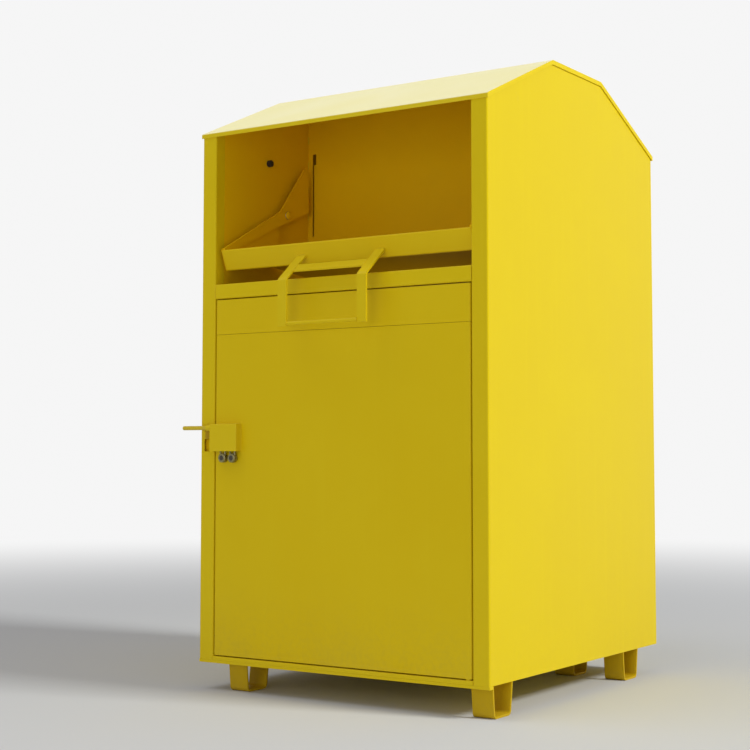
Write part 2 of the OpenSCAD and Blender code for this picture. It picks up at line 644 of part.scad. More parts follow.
side_panel_left();
side_panel_right();
back_panel();
floor_pan();
bearer_left();
bearer_right();
bearer_inner();
roof_panel();
header_channel();
transom_panel();
transom_cleat();
cheek_left();
cheek_right();
chute_baffle();
cheek_plug_left();
cheek_plug_right();
hopper_stop_left();
hopper_stop_right();
pivot_stud_left();
pivot_stud_right();
door_stop_side();
door_stop_top();
door_stop_low();
door_pin_top();
door_pin_low();
door_washer();
leg_front_left();
leg_front_right();
leg_rear_left();
leg_rear_right();
leg_rear_inner();
bar_guide();
hopper_tray();
hopper_side_left();
hopper_side_right();
hopper_arm_left();
hopper_arm_right();
hopper_bush_left();
hopper_bush_right();
handle_bar_left();
handle_bar_right();
handle_crossbar();
handle_grip();
door_skin();
door_brace_low();
door_brace_mid();
door_brace_top();
door_lug_top();
door_lug_low();
lock_hood();
staple_left();
staple_right();
lock_bar();
padlock_left_shackle();
padlock_left_body();
padlock_left_core();
padlock_right_shackle();
padlock_right_body();
padlock_right_core();
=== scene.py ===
"""A street clothing donation bin of folded, powder-coated steel.

The fixed frame gets finishes, weld beads, strap feet, a sill, lock trim, a camera and light.
"""
import math

import bmesh
import bpy
import numpy as np
from mathutils import Matrix, Vector


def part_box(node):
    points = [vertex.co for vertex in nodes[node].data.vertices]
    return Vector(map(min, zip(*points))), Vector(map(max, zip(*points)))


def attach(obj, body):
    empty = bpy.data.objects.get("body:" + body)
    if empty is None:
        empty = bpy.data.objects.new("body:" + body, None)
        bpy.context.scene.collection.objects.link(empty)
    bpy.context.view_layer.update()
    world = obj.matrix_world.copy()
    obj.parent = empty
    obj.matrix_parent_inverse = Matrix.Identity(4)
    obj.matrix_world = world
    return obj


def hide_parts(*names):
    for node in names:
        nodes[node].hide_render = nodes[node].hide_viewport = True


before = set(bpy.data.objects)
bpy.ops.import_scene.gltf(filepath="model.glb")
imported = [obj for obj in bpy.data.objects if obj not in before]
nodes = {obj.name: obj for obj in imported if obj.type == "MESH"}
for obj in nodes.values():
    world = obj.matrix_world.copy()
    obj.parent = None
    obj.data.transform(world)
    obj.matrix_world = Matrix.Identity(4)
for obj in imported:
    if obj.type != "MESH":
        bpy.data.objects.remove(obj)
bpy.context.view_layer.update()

# ---------------------------------------------------------------- places
corner = Vector((-0.526, -0.5705, 0.1))      # the cabinet's front lower left corner, in metres


def here(x, y, z):
    """A point given in the cabinet's own millimetres.

    They count to the right, back from the front, and up from the cabinet's underside.
    """
    return (corner.x + x / 1000, corner.y + y / 1000, corner.z + z / 1000)


def box_mm(name):
    """A node's lowest and highest corner in the cabinet's millimetres."""
    lo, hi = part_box(name)
    return [[(v[k] - corner[k]) * 1000 for k in range(3)] for v in (lo, hi)]


def middle_mm(name):
    """The middle of a node's box in the cabinet's millimetres."""
    return [(a + b) / 2 for a, b in zip(*box_mm(name))]


def inner_x(name, side):
    """How far to the right a node's face that looks to the bin's middle stands, in millimetres."""
    lo, hi = box_mm(name)
    return hi[0] if side == "left" else lo[0]


# ---------------------------------------------------------------- surfaces
def unit(vectors):
    """The vectors, one per row, each divided by its length."""
    return vectors / np.linalg.norm(vectors, axis=-1, keepdims=True)


def tube(name, points, ring=False):
    """A closed piece from an array of points[u, v] of shape (nu, nv, 3), its faces outwards.

    Quad (i, j) joins points i, i+1 along the tube and j, j+1 round it, where the last point
    meets the first. A ring also meets itself along u; any other tube ends in flat faces.
    """
    nu, nv = points.shape[:2]
    i, j = np.meshgrid(np.arange(nu if ring else nu - 1), np.arange(nv), indexing="ij")
    i2, j2 = (i + 1) % nu, (j + 1) % nv
    quads = np.stack([i * nv + j, i2 * nv + j, i2 * nv + j2, i * nv + j2], -1)
    faces = quads.reshape(-1, 4).tolist()
    if not ring:
        faces.append(list(range(nv)))
        faces.append([(nu - 1) * nv + k for k in range(nv)][::-1])
    mesh = bpy.data.meshes.new(name)
    mesh.from_pydata(points.reshape(-1, 3).tolist(), [], faces)
    mesh.update()
    mesh.shade_smooth()
    bm = bmesh.new()
    bm.from_mesh(mesh)
    bmesh.ops.remove_doubles(bm, verts=bm.verts, dist=1e-6)
    bmesh.ops.recalc_face_normals(bm, faces=bm.faces)
    bm.to_mesh(mesh)
    bm.free()
    mesh.update()
    piece = bpy.data.objects.new(name, mesh)
    bpy.context.scene.collection.objects.link(piece)
    return piece


def dressed(piece, body, finish):
    """Gives a piece its finish and the body that it rides on."""
    piece.data.materials.append(finish)
    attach(piece, body)
    return piece


def resample(path, step):
    """Points every step metres along a polyline: linear interpolation on its running length."""
    path = np.asarray(path, float)
    run = np.concatenate([[0.0], np.cumsum(np.linalg.norm(np.diff(path, axis=0), axis=1))])
    count = max(3, int(round(run[-1] / step)) + 1)
    at = np.linspace(0.0, run[-1], count)
    return np.stack([np.interp(at, run, path[:, k]) for k in range(3)], 1), at


def bead(name, start, end, body, thick=3.0):
    """A straight, rippled hand weld between two points in the cabinet's millimetres.

    centre(s) runs from start to end; the section is a circle of radius
    r(s) = thick / 2 * (1 + ripple * |sin(pi * s / pitch)| - ripple / 2), which gives the
    stacked half-moon ripples of a hand weld, and the ends taper to end_share of the radius.
    """
    ripple, pitch, sides = 0.18, 0.0042, 8
    end_share, taper_length = 0.35, 0.005
    not_along = np.array([0.31, 0.52, 0.79])      # a direction that no bead follows
    centre, s = resample([here(*start), here(*end)], pitch / 4)
    tangent = unit(np.gradient(centre, axis=0))
    side = unit(np.cross(tangent, not_along))
    other = np.cross(tangent, side)
    from_end = np.clip(np.minimum(s, s[-1] - s) / taper_length, 0.0, 1.0)
    taper = from_end ** 0.5 * (1 - end_share) + end_share
    r = thick / 2000 * (1 + ripple * np.abs(np.sin(np.pi * s / pitch)) - ripple / 2) * taper
    a = np.linspace(0, 2 * np.pi, sides, endpoint=False)[None, :, None]
    spokes = np.cos(a) * side[:, None, :] + np.sin(a) * other[:, None, :]
    points = centre[:, None, :] + r[:, None, None] * spokes
    return dressed(tube(name, points), body, bead_coat)


def turned(name, profile, centre, axis, body, finish, sides=48, ring=False):
    """A turned piece: the profile's (distance along axis, radius) points swept round the axis.

    point(i, a) = centre + along_i * axis + radius_i * (cos a * e1 + sin a * e2), in metres.
    A ring's profile is a closed loop; otherwise both ends are closed with a flat face.
    """
    axis = unit(np.asarray(axis, float))
    e1 = unit(np.cross(axis, [0.36, 0.48, 0.8]))
    e2 = np.cross(axis, e1)
    along, radius = np.asarray(profile, float).T[:, :, None, None]
    a = np.linspace(0, 2 * np.pi, sides, endpoint=False)[None, :, None]
    points = np.asarray(centre) + along * axis + radius * (np.cos(a) * e1 + np.sin(a) * e2)
    return dressed(tube(name, points, ring), body, finish)


def rolled_rim(name, centre, axis, around, thick, body, finish):
    """A round bead bent into a hoop, in metres.

    The profile is a circle of radius thick / 2 whose middle is carried round one of radius
    around: (sin v * thick / 2, around + cos v * thick / 2).
    """
    v = np.linspace(0, 2 * np.pi, 10, endpoint=False)
    profile = np.stack([np.sin(v) * thick / 2, around + np.cos(v) * thick / 2], 1)
    return turned(name, profile, centre, axis, body, finish, ring=True)


def bent_strap(name, corners, radius, thick, x0, x1, body, finish):
    """A flat strap, in millimetres, bent along a polyline in the (back, up) plane.

    The middle line runs through the corners and rounds each with an arc of the given radius;
    point(i, k) = middle_i + side_k across the strap + depth_k * normal_i, where (side, depth)
    goes round the strap's section, a rectangle with its edges eased.
    """
    arc_points = 13
    eased = [(0.0, 1.0), (0.3, 0.3), (1.0, 0.0)]      # how far in each edge's points stand
    corners = np.asarray(corners, float)
    run = [corners[0]]
    for a, b, c in zip(corners, corners[1:], corners[2:]):
        u, v = unit(a - b), unit(c - b)
        half = math.acos(float(u @ v)) / 2
        mid = b + unit(u + v) * radius / math.sin(half)
        first, last = (b + way * radius / math.tan(half) - mid for way in (u, v))
        start = math.atan2(first[1], first[0])
        swing = (math.atan2(last[1], last[0]) - start + math.pi) % (2 * math.pi) - math.pi
        at = start + np.linspace(0, swing, arc_points)
        run += list(mid + radius * np.stack([np.cos(at), np.sin(at)], 1))
    run = np.array(run + [corners[-1]])
    along = unit(np.gradient(run, axis=0))
    normal = np.stack([-along[:, 1], along[:, 0]], 1)
    w, t = (x1 - x0) / 2, thick / 2
    section = np.array([(i * (w - a), j * (t - b))
                        for i, j in ((-1, -1), (1, -1), (1, 1), (-1, 1))
                        for a, b in (eased if i == j else eased[::-1])])
    flat = run[:, None, :] + section[None, :, 1, None] * normal[:, None, :]
    across = np.broadcast_to((x0 + x1) / 2 + section[:, 0], flat.shape[:2])
    points = np.array(corner) + np.concatenate([across[..., None], flat], -1) / 1000
    piece = tube(name, points)
    piece.data.set_sharp_from_angle(angle=math.radians(30))
    return dressed(piece, body, finish)


def thin_plate(name, low, high, body, finish):
    """A flat plate between two corners in the cabinet's millimetres, its edges eased.

    Its outline lies across the thinnest direction k, and stands at four depths along k: the
    two faces, where it is drawn in by ease, and ease below each face, where it is full size.
    """
    ease = 0.5
    low, high = np.array(low, float), np.array(high, float)
    k = int(np.argmin(high - low))
    i, j = [n for n in range(3) if n != k]
    rings = np.zeros((4, 4, 3))
    rows = ((low[k], ease), (low[k] + ease, 0.0), (high[k] - ease, 0.0), (high[k], ease))
    for ring, (depth, inset) in zip(rings, rows):
        ring[:, k] = depth
        ring[:, i] = [low[i] + inset, high[i] - inset, high[i] - inset, low[i] + inset]
        ring[:, j] = [low[j] + inset, low[j] + inset, high[j] - inset, high[j] - inset]
    piece = tube(name, np.array(corner) + rings / 1000)
    piece.data.shade_flat()
    return dressed(piece, body, finish)


# ---------------------------------------------------------------- shader nodes
def node(tree, kind, **values):
    """A node of that kind; values set its inputs by name."""
    n = tree.nodes.new(kind)
    for key, value in values.items():
        n.inputs[key].default_value = value
    return n


def use(tree, effect, **values):
    """Places an effect group in a material with its own values."""
    n = tree.nodes.new("ShaderNodeGroup")
    n.node_tree = effect
    for key, value in values.items():
        n.inputs[key].default_value = value
    return n


def maths(tree, operation, a, b=None, c=None, clamp=False):
    """A Math node on numbers or sockets; the result is its output socket."""
    n = tree.nodes.new("ShaderNodeMath")
    n.operation = operation
    n.use_clamp = clamp
    for socket, v in zip(n.inputs, (a, b, c)):
        if isinstance(v, bpy.types.NodeSocket):
            tree.links.new(v, socket)
        elif v is not None:
            socket.default_value = v
    return n.outputs[0]


def mixed(tree, factor, a, b):
    """Colour mix: a where the factor is 0, b where it is 1; each an RGB colour or a socket."""
    n = tree.nodes.new("ShaderNodeMix")
    n.data_type = "RGBA"
    factor_in, a_in, b_in, result = n.inputs[0], n.inputs[6], n.inputs[7], n.outputs[2]
    tree.links.new(factor, factor_in)
    for socket, v in ((a_in, a), (b_in, b)):
        if isinstance(v, bpy.types.NodeSocket):
            tree.links.new(v, socket)
        else:
            socket.default_value = (*v, 1)
    return result


def ramp(tree, value, low, high):
    """0 below low, 1 above high, smooth between."""
    n = node(tree, "ShaderNodeMapRange", **{"From Min": low, "From Max": high})
    n.interpolation_type = "SMOOTHSTEP"
    tree.links.new(value, n.inputs["Value"])
    return n.outputs["Result"]


def object_place(tree):
    """Where a point is in Object coordinates, in metres."""
    return tree.nodes.new("ShaderNodeTexCoord").outputs["Object"]


def upward_part(tree, vector):
    """The Z of a vector socket."""
    split = tree.nodes.new("ShaderNodeSeparateXYZ")
    tree.links.new(vector, split.inputs[0])
    return split.outputs["Z"]


def length(tree, vector):
    """The length of a vector socket."""
    n = tree.nodes.new("ShaderNodeVectorMath")
    n.operation = "LENGTH"
    tree.links.new(vector, n.inputs[0])
    return n.outputs["Value"]


def mapped(tree, **values):
    """Object coordinates moved, turned and scaled by a Mapping node."""
    place = node(tree, "ShaderNodeMapping", **values)
    tree.links.new(object_place(tree), place.inputs["Vector"])
    return place.outputs["Vector"]


def pattern(tree, scale, stretch=(1, 1, 1), detail=2.0, rough=0.5, turn=(0, 0, 0)):
    """Noise on Object coordinates, stretched per axis."""
    noise = node(tree, "ShaderNodeTexNoise", Scale=scale, Detail=detail, Roughness=rough)
    tree.links.new(mapped(tree, Scale=stretch, Rotation=turn), noise.inputs["Vector"])
    return noise.outputs["Fac"]


def facing_up(tree):
    """1 on faces that look at the sky, 0 on upright ones: a ramp on the normal's upward part."""
    normal = tree.nodes.new("ShaderNodeTexCoord").outputs["Normal"]
    return ramp(tree, upward_part(tree, normal), 0.2, 0.6)


def oval_patch(tree, centre, reach):
    """1 inside a soft oval patch, 0 outside: the distance from its centre over its reach."""
    away = length(tree, mapped(tree, Location=[-c / r for c, r in zip(centre, reach)],
                               Scale=[1 / r for r in reach]))
    uneven = maths(tree, "MULTIPLY_ADD", pattern(tree, 90.0, detail=3.0), 0.7, away)
    return maths(tree, "SUBTRACT", 1.0, ramp(tree, uneven, 0.75, 1.45), clamp=True)


def bumped(tree, height, strength, distance, below=None):
    """The normal that a height gives, on top of the normal below."""
    bump = node(tree, "ShaderNodeBump", Strength=strength, Distance=distance)
    tree.links.new(height, bump.inputs["Height"])
    if below:
        tree.links.new(below, bump.inputs["Normal"])
    return bump.outputs["Normal"]


def seen_rays(tree):
    """1 for rays that the camera sends, straight or by way of metal and glass."""
    path = tree.nodes.new("ShaderNodeLightPath")
    mirrored = maths(tree, "MAXIMUM", path.outputs["Is Glossy Ray"],
                     path.outputs["Is Transmission Ray"])
    return maths(tree, "MAXIMUM", path.outputs["Is Camera Ray"], mirrored)


# ---------------------------------------------------------------- shared effects
def group(name, inputs, outputs):
    """An empty shader node group with float inputs {name: default} and float outputs."""
    g = bpy.data.node_groups.new(name, "ShaderNodeTree")
    for n, v in inputs.items():
        socket = g.interface.new_socket(n, in_out="INPUT", socket_type="NodeSocketFloat")
        socket.default_value = v
    for n in outputs:
        g.interface.new_socket(n, in_out="OUTPUT", socket_type="NodeSocketFloat")
    return g, g.nodes.new("NodeGroupInput"), g.nodes.new("NodeGroupOutput")


def make_orange_peel():
    """Powder coat's skin: soft bumps about 2 mm across with a fine grain of 0.4 mm on them."""
    g, gi, go = group("orange_peel", {"Depth": 1.0}, ["Height"])
    soft = pattern(g, 430.0, detail=1.0)
    fine = pattern(g, 2100.0, detail=1.0)
    both = maths(g, "MULTIPLY_ADD", fine, 0.35, soft)
    g.links.new(maths(g, "MULTIPLY", both, gi.outputs["Depth"]), go.inputs["Height"])
    return g


def make_sheet_waves():
    """Thin sheet never lies quite flat: very long, shallow waves in the panels."""
    g, gi, go = group("sheet_waves", {"Depth": 1.0}, ["Height"])
    waves = pattern(g, 2.1, stretch=(1.0, 1.0, 0.7), detail=1.0)
    g.links.new(maths(g, "MULTIPLY", waves, gi.outputs["Depth"]), go.inputs["Height"])
    return g


def make_sun_fading():
    """Broad, uneven fading and rain streaks that run straight down the sheet."""
    g, gi, go = group("sun_fading", {"Broad": 0.5, "Streaks": 0.3}, ["Fade"])
    broad = ramp(g, pattern(g, 2.6, detail=3.0), 0.3, 0.75)
    streak = ramp(g, pattern(g, 5.0, stretch=(7.0, 7.0, 0.22), detail=4.0, rough=0.6), 0.52, 0.74)
    a = maths(g, "MULTIPLY", broad, gi.outputs["Broad"])
    b = maths(g, "MULTIPLY", streak, gi.outputs["Streaks"])
    g.links.new(maths(g, "ADD", a, b, clamp=True), go.inputs["Fade"])
    return g


def make_road_dust():
    """Dust and splashes: dense at the ground, gone at the reach, broken up by noise."""
    g, gi, go = group("road_dust", {"Reach": 0.5, "Amount": 0.5}, ["Dust"])
    rise = maths(g, "DIVIDE", upward_part(g, object_place(g)), gi.outputs["Reach"])
    near = maths(g, "POWER", maths(g, "SUBTRACT", 1.0, rise, clamp=True), 1.8)
    specks = ramp(g, pattern(g, 60.0, detail=5.0, rough=0.7), 0.40, 0.66)
    cloud = ramp(g, pattern(g, 6.0, detail=3.0), 0.25, 0.75)
    broken = maths(g, "MULTIPLY_ADD", specks, 0.55, maths(g, "MULTIPLY", cloud, 0.6))
    dust = maths(g, "MULTIPLY", maths(g, "MULTIPLY", near, broken), gi.outputs["Amount"],
                 clamp=True)
    g.links.new(dust, go.inputs["Dust"])
    return g


def make_rubbed_marks():
    """Fine hairline scuffs in two directions, where bags, hands and keys rub, and small chips."""
    g, gi, go = group("rubbed_marks", {"Amount": 0.5}, ["Marks", "Chips"])
    a = pattern(g, 30.0, stretch=(1.0, 1.0, 26.0), turn=(0.5, 0.2, 0.1))
    b = pattern(g, 26.0, stretch=(22.0, 1.0, 1.0), turn=(0.1, 0.6, 0.3))
    lines = maths(g, "MAXIMUM", ramp(g, a, 0.68, 0.76), ramp(g, b, 0.69, 0.77))
    patches = ramp(g, pattern(g, 7.0), 0.45, 0.7)
    chips = ramp(g, pattern(g, 120.0, detail=3.0, rough=0.65), 0.735, 0.76)
    spread = ramp(g, pattern(g, 9.0, detail=1.0), 0.52, 0.66)
    for name, what, where in (("Marks", lines, patches), ("Chips", chips, spread)):
        amount = maths(g, "MULTIPLY", maths(g, "MULTIPLY", what, where), gi.outputs["Amount"],
                       clamp=True)
        g.links.new(amount, go.inputs[name])
    return g


orange_peel = make_orange_peel()
sheet_waves = make_sheet_waves()
sun_fading = make_sun_fading()
road_dust = make_road_dust()
rubbed_marks = make_rubbed_marks()


# ---------------------------------------------------------------- materials
pale = (0.92, 0.92, 0.92)      # the background
dust_brown = (0.21, 0.17, 0.11)
# the colour of the painted shade on the post under the lock bar
shade_brown = (0.34, 0.15, 0.010)
speck_brown = (0.16, 0.10, 0.06)
rubber_bloom = (0.09, 0.085, 0.08)
primer = (0.20, 0.17, 0.13)


def new_material(name):
    """A material with its node tree and its Principled BSDF."""
    m = bpy.data.materials.new(name)
    m.use_nodes = True
    return m, m.node_tree, m.node_tree.nodes["Principled BSDF"]


def coated_steel(name, colour, faded, roughness=0.36, broad=0.5, streaks=0.3, dust=0.3, reach=0.6,
                 rub=0.25, waves=1.0, gloss=0.12, lacquer=0.0, chip=primer, painted_shade=None,
                 painted_sheen=None):
    """Yellow powder coat on steel sheet, with fading, dust, scuffs and a few small chips.

    Only the faces looking up have the lacquer, a clear gloss, and paler colours given for them,
    a painted sheen that stands in for the sky's reflection; a brown patch of painted shade may be
    given by its centre and reach, in metres.
    """
    mark_strength, shade_strength = 0.5, 0.62
    chip_depth = 3.0                                  # in heights of the coat's bumps
    fade_rough, dirt_rough, mark_rough = 0.10, 0.35, 0.18
    m, t, coat = new_material(name)
    fade = use(t, sun_fading, Broad=broad, Streaks=streaks).outputs["Fade"]
    dirt = use(t, road_dust, Reach=reach, Amount=dust).outputs["Dust"]
    rubbed = use(t, rubbed_marks, Amount=rub)
    marks, chips = rubbed.outputs["Marks"], rubbed.outputs["Chips"]
    c = mixed(t, fade, colour, faded)
    # painted sheen: the upward faces turn paler, standing in for the sky's reflection
    if painted_sheen:
        c = mixed(t, facing_up(t), c, mixed(t, fade, *painted_sheen))
    scuffed = [0.8 * v + 0.12 for v in faded]
    c = mixed(t, maths(t, "MULTIPLY", marks, mark_strength), c, scuffed)
    c = mixed(t, chips, c, chip)
    c = mixed(t, dirt, c, dust_brown)
    # painted shade: a soft brown patch darkens the paint where a shadow falls
    if painted_shade:
        c = mixed(t, maths(t, "MULTIPLY", oval_patch(t, *painted_shade), shade_strength), c, shade_brown)
    t.links.new(c, coat.inputs["Base Color"])
    r = maths(t, "MULTIPLY_ADD", fade, fade_rough, roughness)
    r = maths(t, "MULTIPLY_ADD", dirt, dirt_rough, r)
    r = maths(t, "MULTIPLY_ADD", marks, mark_rough, r, clamp=True)
    t.links.new(r, coat.inputs["Roughness"])
    wavy = bumped(t, use(t, sheet_waves, Depth=1.0).outputs["Height"],
                  strength=0.5, distance=0.004 * waves)
    peel = use(t, orange_peel, Depth=1.0).outputs["Height"]
    chipped = maths(t, "MULTIPLY_ADD", chips, -chip_depth, peel)
    skin = bumped(t, chipped, strength=0.22, distance=0.00012, below=wavy)
    t.links.new(skin, coat.inputs["Normal"])
    coat.inputs["Specular IOR Level"].default_value = gloss
    if lacquer:
        t.links.new(maths(t, "MULTIPLY", facing_up(t), lacquer), coat.inputs["Coat Weight"])
        coat.inputs["Coat Roughness"].default_value = 0.34
    return m


def plain_metal(name, colour, roughness, grain=(1.0, 1.0, 1.0), grain_scale=900.0, spot=0.2):
    """Bare or plated metal: fine drawn grain along its stretch, dull clouds and dark spots."""
    cloud_strength, cloud_rough, grain_rough = 0.35, 0.12, 0.12
    m, t, metal = new_material(name)
    grain_at = pattern(t, grain_scale, stretch=grain)
    cloud = ramp(t, pattern(t, 55.0, detail=3.0), 0.35, 0.7)
    specks = maths(t, "MULTIPLY", ramp(t, pattern(t, 420.0), 0.66, 0.74), spot)
    dulled = [0.72 * v for v in colour]
    c = mixed(t, maths(t, "MULTIPLY", cloud, cloud_strength), colour, dulled)
    t.links.new(mixed(t, specks, c, speck_brown), metal.inputs["Base Color"])
    r = maths(t, "MULTIPLY_ADD", cloud, cloud_rough, roughness)
    r = maths(t, "MULTIPLY_ADD", grain_at, grain_rough, r, clamp=True)
    t.links.new(r, metal.inputs["Roughness"])
    skin = bumped(t, grain_at, strength=0.25, distance=0.00005)
    t.links.new(skin, metal.inputs["Normal"])
    metal.inputs["Metallic"].default_value = 1.0
    return m


def black_moulding(name, colour, roughness):
    """Moulded rubber or plastic: a dark matt skin with a fine grain and a little pale bloom."""
    bloom_strength, bloom_rough = 0.25, 0.15
    m, t, rubber = new_material(name)
    grain = pattern(t, 1500.0, detail=3.0)
    bloom = ramp(t, pattern(t, 70.0, detail=3.0), 0.45, 0.8)
    c = mixed(t, maths(t, "MULTIPLY", bloom, bloom_strength), colour, rubber_bloom)
    t.links.new(c, rubber.inputs["Base Color"])
    r = maths(t, "MULTIPLY_ADD", bloom, bloom_rough, roughness)
    t.links.new(r, rubber.inputs["Roughness"])
    skin = bumped(t, grain, strength=0.3, distance=0.0001)
    t.links.new(skin, rubber.inputs["Normal"])
    return m


def studio_floor(name, colour, near, far):
    """A plain matt floor that takes the shadow, and turns into the background from near to far."""
    m, t, base = new_material(name)
    base.inputs["Base Color"].default_value = (*colour, 1)
    base.inputs["Roughness"].default_value = 0.9
    base.inputs["Specular IOR Level"].default_value = 0.0
    away = ramp(t, length(t, object_place(t)), near, far)
    fade = maths(t, "MULTIPLY", away, seen_rays(t))
    glow = node(t, "ShaderNodeEmission", Color=(*pale, 1), Strength=1.0)
    choose = t.nodes.new("ShaderNodeMixShader")
    t.links.new(fade, choose.inputs[0])
    t.links.new(base.outputs[0], choose.inputs[1])
    t.links.new(glow.outputs[0], choose.inputs[2])
    t.links.new(choose.outputs[0], t.nodes["Material Output"].inputs["Surface"])
    return m


bar_shade_spot = (-0.495, -0.5705, 0.845)      # painted shade of the bar and its guide, rust brown, on the post by the lock, under the bar
bar_shade_reach = (0.017, 0.010, 0.042)
shell_coat = coated_steel("shell_coat", (0.80, 0.595, 0.004), (0.83, 0.635, 0.010), dust=0.06,
                          reach=0.5, painted_shade=(bar_shade_spot, bar_shade_reach))
# the roof's upward faces are painted paler: a painted sheen of the sky's reflection
roof_coat = coated_steel("roof_coat", (0.83, 0.62, 0.008), (0.85, 0.66, 0.02), roughness=0.48,
                         broad=0.8, streaks=0.0, dust=0.0, rub=0.15, waves=0.3, gloss=0.15,
                         lacquer=0.55, painted_sheen=((0.92, 0.84, 0.34), (0.95, 0.89, 0.50)))
door_coat = coated_steel("door_coat", (0.80, 0.580, 0.004), (0.82, 0.615, 0.008), streaks=0.25,
                         dust=0.2, reach=0.45, rub=0.3)
chute_coat = coated_steel("chute_coat", (0.83, 0.585, 0.004), (0.85, 0.62, 0.008),
                          roughness=0.42, broad=0.6, streaks=0.0, dust=0.0, rub=0.6)
# the parts inside the chute: the same yellow paint, redder and brighter, painted bounce light
inner_lit_coat = coated_steel("inner_lit_coat", (0.91, 0.58, 0.003), (0.92, 0.61, 0.006), roughness=0.44,
                          broad=0.6, streaks=0.0, dust=0.0, rub=0.6, gloss=0.08)
handle_coat = coated_steel("handle_coat", (0.80, 0.595, 0.006), (0.82, 0.63, 0.015),
                           roughness=0.33, dust=0.0, rub=0.9, waves=0.2)
# the feet: a darker, more orange copy of the paint, painted shade from the cabinet above them; the
# dust near the ground is their own
foot_shaded_coat = coated_steel("foot_shaded_coat", (0.62, 0.41, 0.003), (0.65, 0.44, 0.005), roughness=0.45,
                         dust=0.14, reach=0.13, rub=0.9, waves=0.2)
bead_coat = coated_steel("bead_coat", (0.78, 0.575, 0.006), (0.80, 0.605, 0.012), roughness=0.40,
                         dust=0.0, rub=0.3, waves=0.1, gloss=0.2)
worn_bar = coated_steel("worn_bar", (0.76, 0.56, 0.01), (0.72, 0.55, 0.05), roughness=0.42,
                        broad=0.9, dust=0.0, rub=1.0, waves=0.1, gloss=0.15,
                        chip=(0.36, 0.33, 0.29))
zinc_plate = plain_metal("zinc_plate", (0.46, 0.44, 0.40), 0.40, grain=(0.15, 1.0, 1.0))
lock_steel = plain_metal("lock_steel", (0.30, 0.27, 0.13), 0.42, grain=(1.0, 1.0, 0.2),
                         grain_scale=1400.0, spot=0.3)
dark_brass = plain_metal("dark_brass", (0.10, 0.085, 0.06), 0.42, spot=0.4)
black_rubber = black_moulding("black_rubber", (0.014, 0.013, 0.012), 0.62)
black_cover = black_moulding("black_cover", (0.030, 0.030, 0.032), 0.45)

# the first line that holds the start of a node's name gives its finish; the padlocks' finishes
# come in the loop, and all other nodes are shell_coat
finishes = [
    (("roof",), roof_coat),
    (("cheek_plug", "hopper_stop"), black_rubber),
    (("hopper_bush",), zinc_plate),
    (("handle_",), handle_coat),
    (("hopper_tray",), chute_coat),
    (("hopper_", "chute_", "cheek_", "pivot_stud"), inner_lit_coat),
    (("door_", "transom_panel"), door_coat),
    (("leg_", "bearer"), foot_shaded_coat),
    (("lock_bar",), worn_bar),
    (("lock_hood", "bar_guide", "staple"), handle_coat),
]
for name, obj in nodes.items():
    finish = next((m for heads, m in finishes if name.startswith(heads)), shell_coat)
    if name.startswith("padlock"):
        finish = dark_brass if name.endswith("core") else lock_steel
    obj.data.materials.clear()
    obj.data.materials.append(finish)

# ---------------------------------------------------------------- weld beads
# the tray's lip and the slanted part of the handle's bars, in the (back, up) plane
lip_slope, lip_length = math.radians(22), 74
lip_top = np.array([8.0, 1375.0])
lip_down = np.array([math.sin(lip_slope), -math.cos(lip_slope)])
lip_out = np.array([lip_down[1], -lip_down[0]])
bend = np.array([-82.0, 1246.0])              # where the bars turn down
root_share = 0.59                             # how far down the lip the bars are welded to it
root = lip_top + root_share * lip_length * lip_down
slant = unit(root - bend)
under = np.array([slant[1], -slant[0]])       # from the bar's upper face to its lower face
bar_thick = 6.2                               # with the beads' own stand-off
bar_proud, end_proud = 0.4, 0.2               # how far the beads' middles stand off the lip
crossbar_edges = (47, 81)                     # along the bar from its bend
lip_weld = (4, 71)                            # along the lip from its top

# handle: each bar's four edges at the lip, the crossbar's edges, and round the grip's ends
for side, inward in (("left", 0.5), ("right", -0.5)):
    (x0, _, _), (x1, _, _) = box_mm("handle_bar_" + side)
    inner, outer = (x1, x0) if side == "left" else (x0, x1)
    a, b = (root + drop * lip_down + bar_proud * lip_out for drop in (0.0, bar_thick))
    for face, at in (("upper", a), ("lower", b)):
        bead(f"weld_handle_{side}_{face}", (x0 + 1, *at), (x1 - 1, *at), "hopper", thick=3.6)
    for edge, x in (("inner", inner), ("outer", outer)):
        bead(f"weld_handle_{side}_{edge}", (x, *a), (x, *b), "hopper", thick=3.2)
    for face, shift in (("upper", -0.2), ("lower", bar_thick)):
        a, b = (bend + along * slant + shift * under for along in crossbar_edges)
        bead(f"weld_cross_{side}_{face}", (inner + inward, *a), (inner + inward, *b), "hopper",
             thick=2.8)
(x0, _, _), (x1, _, _) = box_mm("handle_grip")
_, y, z = middle_mm("handle_grip")
for side, x in (("left", x0 + 0.6), ("right", x1 - 0.6)):
    rolled_rim(f"weld_grip_{side}", here(x, y, z), (1, 0, 0), around=0.0062, thick=0.0026,
               body="hopper", finish=bead_coat)

# tray: the joint down each end of the lip
for side in ("left", "right"):
    x = inner_x("hopper_side_" + side, side)
    a, b = (lip_top + along * lip_down + end_proud * lip_out for along in lip_weld)
    bead(f"weld_lip_{side}", (x, *a), (x, *b), "hopper", thick=1.8)

# chute: stitches where the cheeks meet the back wall, and the header's ends at the posts
wall_y, stitch_length = 526.4, 28
header_low, header_high, header_top, header_back = 1210, 1252, 1256.2, 38.0
for side, cheek_x, post_x in (("left", 58.6, 58.4), ("right", 1059.4, 1059.6)):
    for k, z in enumerate((1350, 1445, 1540, 1635, 1730, 1825)):
        bead(f"weld_baffle_{side}_{k}", (cheek_x, wall_y, z), (cheek_x, wall_y, z + stitch_length),
             "cabinet", thick=3.4)
    bead(f"weld_header_{side}", (post_x, 0.0, header_low), (post_x, 0.0, header_high),
         "cabinet", thick=2.2)
    bead(f"weld_header_top_{side}", (post_x, 3.0, header_top), (post_x, header_back, header_top),
         "cabinet", thick=2.2)

